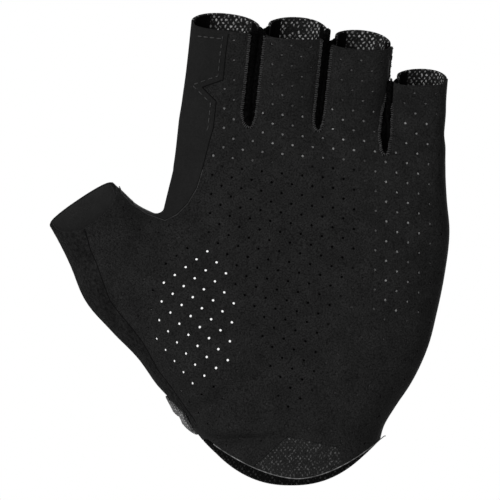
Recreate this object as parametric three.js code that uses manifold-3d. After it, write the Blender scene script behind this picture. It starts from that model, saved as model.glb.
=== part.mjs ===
// A fingerless cycling glove for the left hand, in the rounded shape that a hand gives it.
// Millimetres, +Z up along the hand, +X towards the little finger. The palm faces -Y.
// The origin is the centre of the wrist opening.
import * as THREE from "three";
import { mergeVertices } from "three/addons/utils/BufferGeometryUtils.js";
import Module from "manifold-3d";

const wasm = await Module();
wasm.setup();

// Cloth
const CLOTH = 1.2; // wall of every panel
const SEAM_GAP = 0.3; // slit between two panels that are sewn together

// Hand
const PALM_HEIGHT = 113; // wrist line to the crotch between index and middle finger
const PALM_DEPTH = 34; // front to back through the ball of the thumb
const ROW_SHIFT = -34.3; // outer side of the index finger at its rim
const FINGER_GAP = 0.6; // between neighbouring finger tubes at their widest
const ROOT_SINK = 16; // how far a finger tube starts below its crotch line
const FINGER_SET_FORWARD = 2; // finger roots lie this much in front of the wrist's centre

// Finger tubes: reach is the rim's height above the crotch line, lean the sideways run of the axis,
// curl its forward bend in degrees, and fall the slope of the rim towards the little finger
const FINGERS = [
  { name: "index", width: 23.6, depth: 18.5, reach: 33.3, lean: 3.5, curl: 21, fall: 0.11 },
  { name: "middle", width: 22.2, depth: 18.5, reach: 31.2, lean: 3.6, curl: 26, fall: 0.05 },
  { name: "ring", width: 20.9, depth: 17.5, reach: 27.4, lean: 3.2, curl: 24, fall: 0.09 },
  { name: "little", width: 18.5, depth: 15.5, reach: 14.9, lean: 1.2, curl: 23, fall: 0 },
];

// Slots between the fingers: bottom is the crotch's height above the crotch line, left and right are
// how far the two palm seams run beside the slot
const SLOTS = [
  { name: "gusset_index_middle", bottom: 0, left: 3.9, right: 1.9 },
  { name: "gusset_middle_ring", bottom: -1.3, left: 2.6, right: 1.9 },
  { name: "gusset_ring_little", bottom: -9.2, left: 2.9, right: 1.3 },
];
const SLOT_MOUTH = 4.4; // width of the valley between two fingers at the palm's surface
const SLOT_BACK_MOUTH = 1.6; // and at the back, where the fingers lie close together
const SLOT_ROUND = 5; // height over which a slot's bottom closes

// Thumb tube
const THUMB_BESIDE = 28.1; // centre of the thumb's rim, out past half the finger row
const THUMB_BELOW = 27.8; // and below the crotch line
const THUMB_WIDTH = 26;
const THUMB_DEPTH = 19;
const THUMB_CURL = 30;

// Wrist
const WRIST_HALF = 30.6; // half the width of the wrist opening
const RIM_SIDE = 5.6; // the rim's height at the sides of the wrist
// How much lower the rim hangs at its lowest place, where that is, and how round it is there
const PALM_RIM = { drop: 13, middle: 2, power: 1.75 };
const BACK_RIM = { drop: 16.4, middle: 0.7, power: 2.3 };
const CUFF_HEIGHT = 12; // band along the rim on the back
const HEEL_HEIGHT = 14.2; // knitted insert at the heel of the palm, from the rim to its point
const HEEL_WIDTH = 30.5;

// Closure on the back of the wrist
const KEYHOLE_LENGTH = 51;
const KEYHOLE_WIDTH = 31;
const TAB_LENGTH = 46;
const TAB_WIDTH = 10;
const TAB_TURN = -14; // slope of its length in degrees
const TAB_THICKNESS = 2.2;
const TAB_FRONT = 1; // its root reaches this far round to the palm side

// Side seams between palm side and back: they run this far behind the wrist's centre, and bend
// forward above one height with the fingers and beyond one X with the thumb
const SIDE_SEAM_BACK = 2;
const FINGER_BEND = { share: 0.88, slope: 0.33 }; // of PALM_HEIGHT
const THUMB_BEND = { share: -0.4, slope: 0.4 }; // of the finger row

// Facets
const BODY_SIDES = 36;
const FINGER_SIDES = 22;
const THUMB_SIDES = 26;
const TAB_END_STEPS = 8;

const FAR = 90; // beyond every surface of the glove
const PAST_RIM = 3; // the hollow runs out this far past the rims of the fingers and the thumb
const row = FINGERS.reduce((sum, f) => sum + f.width, 0) + FINGER_GAP * (FINGERS.length - 1);
const thumbOut = row / 2 + THUMB_BESIDE;
const thumbUp = PALM_HEIGHT - THUMB_BELOW;
const fingerBendZ = FINGER_BEND.share * PALM_HEIGHT;
const thumbBendX = THUMB_BEND.share * row;

// Sections of the hand from wrist to finger roots. up is a share of PALM_HEIGHT, left and right are
// shares of the finger row, front and back are shares of PALM_DEPTH, and drop is how far the little
// finger's side lies below the index finger's, as a share of PALM_HEIGHT.
const HAND = [
  { up: -0.2, left: -0.305, right: 0.313, front: 0.55, back: 0.56, drop: 0 },
  { up: -0.08, left: -0.329, right: 0.332, front: 0.57, back: 0.58, drop: 0 },
  { up: 0.045, left: -0.348, right: 0.352, front: 0.57, back: 0.57, drop: 0 },
  { up: 0.085, left: -0.388, right: 0.363, front: 0.57, back: 0.56, drop: 0 },
  { up: 0.142, left: -0.425, right: 0.399, front: 0.56, back: 0.54, drop: 0 },
  { up: 0.213, left: -0.5, right: 0.461, front: 0.55, back: 0.51, drop: 0 },
  { up: 0.322, left: -0.545, right: 0.528, front: 0.53, back: 0.48, drop: 0 },
  { up: 0.43, left: -0.56, right: 0.565, front: 0.5, back: 0.46, drop: 0 },
  { up: 0.539, left: -0.552, right: 0.594, front: 0.47, back: 0.45, drop: 0 },
  { up: 0.677, left: -0.522, right: 0.614, front: 0.44, back: 0.44, drop: 0 },
  { up: 0.77, left: -0.492, right: 0.604, front: 0.42, back: 0.43, drop: 0.01 },
  { up: 0.85, left: -0.463, right: 0.599, front: 0.4, back: 0.41, drop: 0.03 },
  { up: 0.91, left: -0.445, right: 0.598, front: 0.38, back: 0.375, drop: 0.05 },
  { up: 0.96, left: -0.435, right: 0.596, front: 0.345, back: 0.345, drop: 0.07 },
  { up: 1.0, left: -0.428, right: 0.588, front: 0.3, back: 0.29, drop: 0.075 },
];

// Sections of the thumb from its rim down into the hand. out and up place the centre as shares of
// the rim's distances from the wrist's centre, wide is a share of THUMB_WIDTH, turn is the section's
// slope in degrees, fore, front and back are shares of THUMB_DEPTH, tilt is a share of THUMB_CURL, and
// power is the section's exponent, which falls towards the ball of the thumb so that the tube fades
// into the palm.
const THUMB = [
  { out: 1, up: 1, wide: 1, turn: 34, fore: 0.14, front: 0.78, back: 0.19, tilt: 1, power: 2.3 },
  { out: 0.955, up: 0.948, wide: 1.07, turn: 41, fore: 0.13, front: 0.73, back: 0.26, tilt: 0.9, power: 2.3 },
  { out: 0.897, up: 0.876, wide: 1.19, turn: 46, fore: 0.11, front: 0.71, back: 0.36, tilt: 0.7, power: 2.2 },
  { out: 0.829, up: 0.8, wide: 1.43, turn: 51, fore: 0.1, front: 0.69, back: 0.5, tilt: 0.4, power: 2.1 },
  { out: 0.669, up: 0.706, wide: 1.73, turn: 52, fore: 0.1, front: 0.68, back: 0.67, tilt: 0.1, power: 1.9 },
  { out: 0.515, up: 0.599, wide: 1.84, turn: 49, fore: 0.05, front: 0.8, back: 0.72, tilt: 0, power: 1.8 },
  { out: 0.408, up: 0.45, wide: 1.71, turn: 43, fore: 0, front: 0.88, back: 0.76, tilt: 0, power: 1.8 },
  { out: 0.345, up: 0.302, wide: 1.27, turn: 34, fore: 0, front: 0.9, back: 0.8, tilt: 0, power: 1.8 },
];

// A finger's axis: along is a share of the way from crotch line to rim, tilt a share of the curl,
// wide and deep are shares of the width and the depth. The root lies ROOT_SINK below the crotch line.
const FINGER_FRONT = 0.42; // share of a finger's depth that lies in front of its axis
const FINGER_ROOT = { wide: 1, deep: 0.8 };
const FINGER_RUN = [
  { along: 0, tilt: 0.15, wide: 1.04, deep: 1.06 },
  { along: 0.2, tilt: 0.5, wide: 1.04, deep: 1.06 },
  { along: 0.5, tilt: 0.85, wide: 1.01, deep: 1.02 },
  { along: 0.8, tilt: 1, wide: 1, deep: 1 },
  { along: 1, tilt: 1, wide: 1, deep: 1 },
];

// Exponents of the sections: 2 is an ellipse, more is squarer
const HAND_SQUARE = { front: 2.7, back: 2.4 };
const FINGER_SQUARE = { front: 2.9, back: 2.3 };

// A slot's half width from the palm side to the back: at is a share of half the palm's depth
const SLOT_SECTION = [
  { at: -2, half: 1.2 * SLOT_MOUTH },
  { at: -0.62, half: 0.5 * SLOT_MOUTH },
  { at: -0.3, half: 0.5 * FINGER_GAP },
  { at: 0.35, half: 0.5 * FINGER_GAP },
  { at: 0.8, half: 0.5 * SLOT_BACK_MOUTH },
  { at: 2, half: 0.5 * SLOT_BACK_MOUTH },
];

// How a slot's valley opens from its crotch upwards, and the U that the palm seams draw round it
const SLOT_OPENING = [
  { up: 0, spread: 0.1 },
  { up: 0.15, spread: 0.5 },
  { up: 0.45, spread: 0.82 },
  { up: 1, spread: 1 },
];
const SLOT_SEAM = [
  { up: 1.6, spread: 1 },
  { up: 0.5, spread: 0.85 },
  { up: 0.12, spread: 0.55 },
  { up: 0, spread: 0.2 },
];
const SLOT_SEAM_RUN = 24; // height over which the seam's U reaches its full spread
const SLOT_SEAM_BELOW = 1.8; // the seam passes this much below the crotch

const CLOTH_LOOKS = {
  palm: { color: 0x1f1f1f, roughness: 0.95, metalness: 0 },
  side: { color: 0x1d1d1d, roughness: 0.85, metalness: 0 },
  wipe: { color: 0x1a1a1a, roughness: 1, metalness: 0 },
  mesh: { color: 0x161616, roughness: 0.9, metalness: 0 },
  insert: { color: 0x262626, roughness: 0.9, metalness: 0 },
  cuff: { color: 0x121212, roughness: 0.9, metalness: 0 },
  tab: { color: 0x7d7d7d, roughness: 0.9, metalness: 0 },
};

const radians = THREE.MathUtils.degToRad;

// A closed faceted solid of a geometry
function solid(geometry) {
  const bare = geometry.index ? geometry.toNonIndexed() : geometry;
  bare.deleteAttribute("normal");
  bare.deleteAttribute("uv");
  const merged = mergeVertices(bare, 1e-4);
  return new wasm.Manifold(
    new wasm.Mesh({
      numProp: 3,
      vertProperties: merged.attributes.position.array,
      triVerts: new Uint32Array(merged.index.array),
    }),
  );
}

// One closed ring of points round a centre: across and through are the section's two directions.
// The front is flatter than the back, as a palm under tension is.
function sectionRing({ centre, across, through, half, front, back, sides, square }) {
  const points = [];
  for (let i = 0; i < sides; i++) {
    const angle = (2 * Math.PI * (i + 0.5)) / sides;
    const [c, s] = [Math.cos(angle), Math.sin(angle)];
    const power = 2 / (s < 0 ? square.front : square.back);
    const side = Math.sign(c) * Math.abs(c) ** power * half;
    const deep = Math.sign(s) * Math.abs(s) ** power * (s < 0 ? front : back);
    points.push(centre.clone().addScaledVector(across, side).addScaledVector(through, deep));
  }
  return points;
}

// A solid through rings of equally many points. The ends are flat, seen whole from above.
function loft(rings) {
  const sides = rings[0].length;
  const positions = [];
  const face = (...corners) => corners.forEach((p) => positions.push(p.x, p.y, p.z));
  for (let r = 0; r + 1 < rings.length; r++) {
    for (let i = 0; i < sides; i++) {
      const j = (i + 1) % sides;
      const [a, b, c, d] = [rings[r][i], rings[r][j], rings[r + 1][j], rings[r + 1][i]];
      face(a, b, c);
      face(a, c, d);
    }
  }
  const fromAbove = (ring) => ring.map((p) => new THREE.Vector2(p.x, p.y));
  const cap = (ring) => THREE.ShapeUtils.triangulateShape(fromAbove(ring), []);
  const [first, last] = [rings[0], rings[rings.length - 1]];
  cap(first).forEach(([a, b, c]) => face(first[a], first[c], first[b]));
  cap(last).forEach(([a, b, c]) => face(last[a], last[b], last[c]));
  const geometry = new THREE.BufferGeometry();
  geometry.setAttribute("position", new THREE.Float32BufferAttribute(positions, 3));
  return solid(geometry);
}

// An outline in the X-Z plane, made thick from one Y to another
function prism(outline, fromY, toY) {
  const shape = new THREE.Shape(outline.map(([x, z]) => new THREE.Vector2(x, z)));
  const depth = toY - fromY;
  const geometry = new THREE.ExtrudeGeometry(shape, { depth, bevelEnabled: false });
  geometry.rotateX(Math.PI / 2);
  geometry.translate(0, toY, 0);
  return solid(geometry);
}

// A band of the seam's width along a path in the X-Z plane
function bandOutline(path) {
  const side = (sign) =>
    path.map((p, i) => {
      const before = path[Math.max(i - 1, 0)];
      const after = path[Math.min(i + 1, path.length - 1)];
      const into = new THREE.Vector2(p[0] - before[0], p[1] - before[1]);
      const out = new THREE.Vector2(after[0] - p[0], after[1] - p[1]);
      if (i === 0) into.copy(out);
      if (i === path.length - 1) out.copy(into);
      const along = into.normalize().clone().add(out.normalize()).normalize();
      const stretch = 1 / Math.max(along.dot(into), 0.4);
      const shift = (sign * SEAM_GAP * stretch) / 2;
      return [p[0] - along.y * shift, p[1] + along.x * shift];
    });
  return [...side(1), ...side(-1).reverse()];
}

// The side seams lie on this surface
function splitY(x, z) {
  const above = Math.max(z - fingerBendZ, 0);
  const outside = Math.max(thumbBendX - x, 0);
  return SIDE_SEAM_BACK - above * FINGER_BEND.slope - outside * THUMB_BEND.slope;
}

// Space between two shifted copies of that surface, or between one and a far plane. Each row gives
// a height and the X at which the solid starts.
function splitSolid(rows, low, high) {
  const ring = ({ z, x }) => {
    const steps = x < thumbBendX ? [x, thumbBendX, FAR] : [x, (x + FAR) / 2, FAR];
    const line = (edge) =>
      steps.map((at) => new THREE.Vector3(at, edge.far ?? splitY(at, z) + edge.shift, z));
    return [...line(low), ...line(high).reverse()];
  };
  return loft(rows.map(ring));
}
const HALF_ROWS = [-FAR, fingerBendZ, 2 * FAR].map((z) => ({ z, x: -FAR }));
const frontHalf = splitSolid(HALF_ROWS, { far: -2 * FAR }, { shift: SEAM_GAP / 2 });
const backHalf = splitSolid(HALF_ROWS, { shift: -SEAM_GAP / 2 }, { far: 2 * FAR });
const throughFront = (outline) => prism(outline, -FAR, FAR).intersect(frontHalf);
const throughBack = (outline) => prism(outline, -FAR, FAR).intersect(backHalf);

// The hand from wrist to finger roots, made smaller by inset on every side but the wrist's
function handSolid(inset) {
  const rings = HAND.map((s, i) => {
    const isTop = i === HAND.length - 1;
    const left = s.left * row + inset;
    const right = s.right * row - inset;
    const half = (right - left) / 2;
    const fall = s.drop * PALM_HEIGHT;
    const z = s.up * PALM_HEIGHT - (isTop ? inset : 0);
    return sectionRing({
      centre: new THREE.Vector3((left + right) / 2, 0, z),
      across: new THREE.Vector3(1, 0, -fall / (2 * half)),
      through: new THREE.Vector3(0, 1, 0),
      half,
      front: s.front * PALM_DEPTH - inset,
      back: s.back * PALM_DEPTH - inset,
      sides: BODY_SIDES,
      square: HAND_SQUARE,
    });
  });
  return loft(rings);
}

// Where each finger's rim and root are centred, from the widths of the fingers before it
function fingerPlaces() {
  let edge = ROW_SHIFT;
  return FINGERS.map((f) => {
    const rimX = edge + f.width / 2;
    edge += f.width + FINGER_GAP;
    return { ...f, rimX, rootX: rimX - f.lean };
  });
}
const fingers = fingerPlaces();

// One finger tube. Its axis bends forward from the root; an inner tube runs out past the rim.
function fingerSolid(finger, inset, past) {
  const { depth, width, reach, curl, fall, rimX, rootX } = finger;
  const tilts = FINGER_RUN.map((s) => radians(s.tilt * curl));
  const slope = (rimX - rootX) / reach;
  const centre = new THREE.Vector3(
    rootX - slope * ROOT_SINK,
    -FINGER_SET_FORWARD,
    PALM_HEIGHT - ROOT_SINK,
  );
  const rings = [];
  const addRing = (tilt, { wide, deep }, down = slope) =>
    rings.push(
      sectionRing({
        centre: centre.clone(),
        across: new THREE.Vector3(1, 0, -down).normalize(),
        through: new THREE.Vector3(0, Math.cos(tilt), Math.sin(tilt)),
        half: (width * wide) / 2 - inset,
        front: depth * deep * FINGER_FRONT - inset,
        back: depth * deep * (1 - FINGER_FRONT) - inset,
        sides: FINGER_SIDES,
        square: FINGER_SQUARE,
      }),
    );
  const advance = (tilt, rise) =>
    centre.add(new THREE.Vector3(slope * rise, -Math.tan(tilt) * rise, rise));
  addRing(0, FINGER_ROOT);
  advance(0, ROOT_SINK);
  FINGER_RUN.forEach((s, i) => {
    const from = i ? FINGER_RUN[i - 1].along : 0;
    advance(tilts[i], (s.along - from) * reach);
    addRing(tilts[i], s, slope + (fall - slope) * s.along);
  });
  if (past) {
    advance(tilts.at(-1), past);
    addRing(tilts.at(-1), FINGER_RUN.at(-1), fall);
  }
  return loft(rings);
}

// The thumb tube. An inner tube runs out past the rim.
function thumbSolid(inset, past) {
  const rings = THUMB.map((s) => {
    const turn = radians(s.turn);
    const tilt = radians(s.tilt * THUMB_CURL);
    const axis = new THREE.Vector3(-Math.sin(turn), 0, Math.cos(turn));
    const through = new THREE.Vector3(0, Math.cos(tilt), 0).addScaledVector(axis, Math.sin(tilt));
    return {
      centre: new THREE.Vector3(-s.out * thumbOut, -s.fore * THUMB_DEPTH, s.up * thumbUp),
      across: new THREE.Vector3(Math.cos(turn), 0, Math.sin(turn)),
      through,
      half: (s.wide * THUMB_WIDTH) / 2 - inset,
      front: s.front * THUMB_DEPTH - inset,
      back: s.back * THUMB_DEPTH - inset,
      sides: THUMB_SIDES,
      square: { front: s.power, back: s.power },
    };
  });
  if (past) {
    const rim = rings[0];
    const outward = rim.centre.clone().sub(rings[1].centre).normalize().multiplyScalar(past);
    rings.unshift({ ...rim, centre: rim.centre.clone().add(outward) });
  }
  return loft(rings.map(sectionRing).reverse());
}

// A slot's middle line at a height above its crotch
function slotLine(k) {
  const [a, b] = [fingers[k], fingers[k + 1]];
  const bottomZ = PALM_HEIGHT + SLOTS[k].bottom;
  const rimX = (a.rimX + a.width / 2 + b.rimX - b.width / 2) / 2;
  const rimZ = PALM_HEIGHT + (a.reach + b.reach) / 2;
  const rootX = rimX - (a.lean + b.lean) / 2;
  const slope = (rimX - rootX) / (rimZ - bottomZ);
  return { bottomZ, xAt: (up) => rootX + slope * up };
}

// The valley between two fingers: a wedge that is widest at the front and back and has a round bottom
function slotSolid(k, grow) {
  const { bottomZ, xAt } = slotLine(k);
  const ringAt = (up, spread) => {
    const middleY = splitY(0, bottomZ + up) - SIDE_SEAM_BACK - FINGER_SET_FORWARD;
    const at = (s, sign) =>
      new THREE.Vector3(
        xAt(up) + sign * (s.half * spread + grow),
        middleY + (s.at * PALM_DEPTH) / 2,
        bottomZ + up - grow,
      );
    const side = (sign) => SLOT_SECTION.map((s) => at(s, sign));
    return [...side(1), ...side(-1).reverse()];
  };
  const rings = SLOT_OPENING.map((s) => ringAt(s.up * SLOT_ROUND, s.spread));
  rings.push(ringAt(PALM_HEIGHT / 2, 1));
  return loft(rings);
}

// The whole glove as one body without its openings, inset from the outer surface
function gloveSolid(inset, past = 0) {
  const tubes = fingers.map((f) => fingerSolid(f, inset, past));
  let body = wasm.Manifold.union([handSolid(inset), thumbSolid(inset, past), ...tubes]);
  SLOTS.forEach((_, k) => {
    body = body.subtract(slotSolid(k, Math.max(inset, 0)));
  });
  return body;
}

// The rim of the wrist, which hangs lower in the middle than at the sides
const RIM_STEPS = 20;
function rimPoints(rim, raise = 0) {
  return Array.from({ length: RIM_STEPS + 1 }, (_, i) => {
    const share = 2 * (i / RIM_STEPS) - 1;
    const rise = RIM_SIDE - rim.drop * (1 - Math.abs(share) ** rim.power);
    return [rim.middle + WRIST_HALF * share, rise + raise];
  });
}
function belowRim(rim) {
  return [[-FAR, RIM_SIDE], ...rimPoints(rim), [FAR, RIM_SIDE], [FAR, -FAR], [-FAR, -FAR]];
}

// The side seam as a thin sheet. Its left end runs down inside the thumb and the hollow of the
// hand, and leaves through the left wall only below the wipe panel.
function sideSeam() {
  const inside = -0.25 * row;
  const wipeEnd = WIPE_END.z * PALM_HEIGHT;
  const rows = [
    { z: -FAR, x: -FAR },
    { z: wipeEnd - SEAM_GAP / 4, x: -FAR },
    { z: wipeEnd + SEAM_GAP / 4, x: inside },
    { z: 0.25 * thumbUp, x: inside },
    { z: 0.6 * thumbUp, x: -0.6 * thumbOut },
    { z: thumbUp, x: -thumbOut },
    { z: fingerBendZ, x: -thumbOut },
    { z: 2 * PALM_HEIGHT, x: -thumbOut },
  ];
  return splitSolid(rows, { shift: -SEAM_GAP / 2 }, { shift: SEAM_GAP / 2 });
}

// Seams as drawn on the palm side. x is a share of the finger row and z a share of PALM_HEIGHT.
const scaled = (rows) => rows.map(({ x, z }) => [x * row, z * PALM_HEIGHT]);
const WIPE_END = { x: -0.36, z: 0.081 };
const PAST_WIPE_END = { x: -0.55, z: 0.081 };

// From the index finger's rim, round a pointed notch, down to the web and along it to the thumb
const SIDE_SEAM = scaled([
  { x: -0.228, z: 1.45 },
  { x: -0.244, z: 1.27 },
  { x: -0.256, z: 1.205 },
  { x: -0.266, z: 1.126 },
  { x: -0.345, z: 1.105 },
  { x: -0.293, z: 1.065 },
  { x: -0.304, z: 0.982 },
  { x: -0.318, z: 0.947 },
  { x: -0.343, z: 0.87 },
  { x: -0.369, z: 0.803 },
  { x: -0.406, z: 0.755 },
  { x: -0.448, z: 0.722 },
  { x: -0.495, z: 0.704 },
  { x: -0.564, z: 0.721 },
  { x: -0.628, z: 0.752 },
  { x: -0.668, z: 0.785 },
  { x: -0.73, z: 0.911 },
]);

// From the thumb's rim down the outer side of the thumb to the wrist
const WIPE_SEAM = scaled([
  { x: -0.902, z: 0.85 },
  { x: -0.805, z: 0.68 },
  { x: -0.782, z: 0.617 },
  { x: -0.759, z: 0.578 },
  { x: -0.735, z: 0.524 },
  { x: -0.707, z: 0.466 },
  { x: -0.672, z: 0.43 },
  { x: -0.617, z: 0.379 },
  { x: -0.578, z: 0.34 },
  { x: -0.547, z: 0.298 },
  { x: -0.52, z: 0.258 },
  { x: -0.472, z: 0.211 },
  { x: -0.425, z: 0.16 },
  { x: -0.402, z: 0.134 },
  { x: -0.38, z: 0.112 },
  WIPE_END,
  PAST_WIPE_END,
]);

// The same panel's seam on the back, from the web round the keyhole to the wrist
const WIPE_BACK_SEAM = scaled([
  { x: -0.69, z: 0.96 },
  { x: -0.6, z: 0.7 },
  { x: -0.61, z: 0.55 },
  { x: -0.63, z: 0.42 },
  { x: -0.59, z: 0.32 },
  { x: -0.48, z: 0.22 },
  { x: -0.41, z: 0.14 },
  { x: -0.38, z: 0.108 },
  WIPE_END,
  PAST_WIPE_END,
]);

// A place in the middle of each large panel, as on the seams
const PANEL_PLACES = {
  palm: { x: 0, z: 0.5 },
  side: { x: -0.38, z: 0.9 },
  wipe: { x: -0.77, z: 0.52 },
  back: { x: 0.2, z: 0.5 },
};

// Palm seam round a slot, from one rim to the other
function slotSeam(k) {
  const { left, right } = SLOTS[k];
  const { bottomZ, xAt } = slotLine(k);
  const side = (sign, offset) =>
    SLOT_SEAM.map(({ up, spread }) => {
      const rise = up * SLOT_SEAM_RUN - SLOT_SEAM_BELOW;
      return [xAt(rise) + sign * offset * spread, bottomZ + rise];
    });
  return [...side(-1, left), ...side(1, right).reverse()];
}

// The cuff's upper edge on the back
function cuffSeam() {
  const edge = rimPoints(BACK_RIM, CUFF_HEIGHT);
  const sideZ = RIM_SIDE + CUFF_HEIGHT;
  return [[-FAR, sideZ], ...edge, [FAR, sideZ]];
}

// The knitted insert at the heel of the palm
function heelSeam() {
  const foot = RIM_SIDE - PALM_RIM.drop;
  return [
    [-0.5 * HEEL_WIDTH, foot - CLOTH],
    [-0.42 * HEEL_WIDTH, foot + 0.3 * HEEL_HEIGHT],
    [-0.05 * HEEL_WIDTH, foot + HEEL_HEIGHT],
    [0.53 * HEEL_WIDTH, foot + 0.72 * HEEL_HEIGHT],
    [0.58 * HEEL_WIDTH, foot - CLOTH],
  ];
}

const KEYHOLE = { x: -0.385 * row, z: 0.4 * PALM_HEIGHT, turn: -5, steps: 24 };
function keyholeOutline() {
  const turn = radians(KEYHOLE.turn);
  return Array.from({ length: KEYHOLE.steps }, (_, i) => {
    const angle = (2 * Math.PI * i) / KEYHOLE.steps;
    const across = (Math.cos(angle) * KEYHOLE_WIDTH) / 2;
    const up = (Math.sin(angle) * KEYHOLE_LENGTH) / 2;
    return [
      KEYHOLE.x + across * Math.cos(turn) - up * Math.sin(turn),
      KEYHOLE.z + across * Math.sin(turn) + up * Math.cos(turn),
    ];
  });
}

// The closure tab's outline: it comes from past the thumb side of the wrist, its end is rounded
function tabOutline() {
  const turn = radians(TAB_TURN);
  const root = [-0.5 * row, RIM_SIDE + 0.8 * TAB_WIDTH];
  const half = TAB_WIDTH / 2;
  const local = [[-TAB_WIDTH, half], [-TAB_WIDTH, -half]];
  for (let i = 0; i <= TAB_END_STEPS; i++) {
    const angle = Math.PI * (i / TAB_END_STEPS - 0.5);
    local.push([TAB_LENGTH - half + half * Math.cos(angle), half * Math.sin(angle)]);
  }
  return local.map(([along, up]) => [
    root[0] + along * Math.cos(turn) - up * Math.sin(turn),
    root[1] + along * Math.sin(turn) + up * Math.cos(turn),
  ]);
}

// The sewn shell: outer body less inner body, trimmed at the wrist and slit along every seam
function sewnPanels() {
  const shell = gloveSolid(0).subtract(gloveSolid(CLOTH, PAST_RIM));
  const cuts = [
    throughFront(belowRim(PALM_RIM)),
    throughBack(belowRim(BACK_RIM)),
    throughBack(keyholeOutline()),
    sideSeam(),
    throughFront(bandOutline(SIDE_SEAM)),
    throughFront(bandOutline(WIPE_SEAM)),
    throughFront(bandOutline(heelSeam())),
    throughBack(bandOutline(WIPE_BACK_SEAM)),
    ...SLOTS.map((_, k) => throughFront(bandOutline(slotSeam(k)))),
  ];
  return shell.subtract(wasm.Manifold.union(cuts)).decompose();
}

// A thin needle that passes through the front or the back wall at a point of the X-Z plane
function needle(x, z, half) {
  const square = [[-1, -1], [1, -1], [1, 1], [-1, 1]];
  return half(square.map(([a, b]) => [x + a * SEAM_GAP, z + b * SEAM_GAP]));
}

// The body that holds most of a needle
function pierced(bodies, through) {
  const share = (body) => body.intersect(through).volume();
  return bodies.reduce((best, body) => (share(body) > share(best) ? body : best));
}

// Each panel is found by a needle through a place on it
function namedPanels() {
  const bodies = sewnPanels();
  const front = (name, look, [x, z]) => {
    return { name, look, body: pierced(bodies, needle(x, z, throughFront)) };
  };
  const place = (key) => scaled([PANEL_PLACES[key]])[0];
  const backNeedle = needle(...place("back"), throughBack);
  const cuffNeedle = needle(0, RIM_SIDE - BACK_RIM.drop + CUFF_HEIGHT / 2, throughBack);
  const cuffSlit = throughBack(bandOutline(cuffSeam()));
  const backAndCuff = pierced(bodies, backNeedle).subtract(cuffSlit).decompose();
  return [
    front("palm_panel", "palm", place("palm")),
    front("index_side_panel", "side", place("side")),
    front("thumb_wipe_panel", "wipe", place("wipe")),
    front("heel_insert", "insert", [0, RIM_SIDE - PALM_RIM.drop + HEEL_HEIGHT / 3]),
    ...SLOTS.map(({ name }, k) => {
      const { bottomZ, xAt } = slotLine(k);
      return front(name, "mesh", [xAt(0), bottomZ - SLOT_SEAM_BELOW / 2]);
    }),
    { name: "back_panel", look: "mesh", body: pierced(backAndCuff, backNeedle) },
    { name: "cuff_band", look: "cuff", body: pierced(backAndCuff, cuffNeedle) },
  ];
}

function closureTab() {
  const hand = (offset) => handSolid(-offset).add(thumbSolid(-offset, 0));
  const band = hand(SEAM_GAP + TAB_THICKNESS).subtract(hand(SEAM_GAP));
  const body = band.intersect(prism(tabOutline(), -TAB_FRONT, FAR));
  return { name: "closure_tab", look: "tab", body };
}

function toMesh({ name, look, body }) {
  const { vertProperties, triVerts } = body.getMesh();
  const geometry = new THREE.BufferGeometry();
  geometry.setAttribute("position", new THREE.Float32BufferAttribute(vertProperties, 3));
  geometry.setIndex(new THREE.Uint32BufferAttribute(triVerts, 1));
  geometry.computeVertexNormals();
  const mesh = new THREE.Mesh(geometry, new THREE.MeshStandardMaterial(CLOTH_LOOKS[look]));
  mesh.name = name;
  return mesh;
}

const glove = new THREE.Group();
glove.add(...[...namedPanels(), closureTab()].map(toMesh));

export default glove;
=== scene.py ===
"""Looks of the fingerless cycling glove. The same tables as the CAD give one smooth skin, which is cut
along the seams into layered cloth pieces. Everything is worked out in millimetres and stored in metres."""

import math

import bpy
import numpy as np
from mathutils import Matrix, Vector


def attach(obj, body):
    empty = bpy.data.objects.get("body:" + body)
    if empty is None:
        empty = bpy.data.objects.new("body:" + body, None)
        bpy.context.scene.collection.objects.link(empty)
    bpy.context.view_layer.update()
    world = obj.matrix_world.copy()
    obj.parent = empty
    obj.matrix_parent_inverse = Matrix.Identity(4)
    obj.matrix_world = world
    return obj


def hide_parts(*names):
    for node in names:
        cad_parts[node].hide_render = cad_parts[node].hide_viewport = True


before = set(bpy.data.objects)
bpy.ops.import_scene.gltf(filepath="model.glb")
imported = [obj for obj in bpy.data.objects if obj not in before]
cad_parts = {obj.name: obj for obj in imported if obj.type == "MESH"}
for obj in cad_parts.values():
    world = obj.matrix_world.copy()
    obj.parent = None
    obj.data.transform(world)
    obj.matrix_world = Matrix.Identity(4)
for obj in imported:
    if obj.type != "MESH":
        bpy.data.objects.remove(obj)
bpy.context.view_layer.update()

MM = 0.001
STEP = 0.85  # spacing of the grid that the skin is worked out on
GRID_LOW = (-92.0, -27.0, -16.0)
GRID_SPAN = (150.0, 52.0, 172.0)
PIXEL = 0.34  # millimetres at the palm that one pixel of the photo covers

# Hand
PALM_HEIGHT = 113
PALM_DEPTH = 34
FINGER_GAP = 0.6
ROW_SHIFT = -34.3
ROOT_SINK = 16
FINGER_SET_FORWARD = 2
FINGERS = [
    dict(width=23.6, depth=18.5, reach=33.3, lean=3.5, curl=21, fall=0.11),
    dict(width=22.2, depth=18.5, reach=31.2, lean=3.6, curl=26, fall=0.05),
    dict(width=20.9, depth=17.5, reach=27.4, lean=2.8, curl=24, fall=0.09),
    dict(width=18.5, depth=15.5, reach=14.9, lean=1.2, curl=23, fall=0),
]
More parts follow.
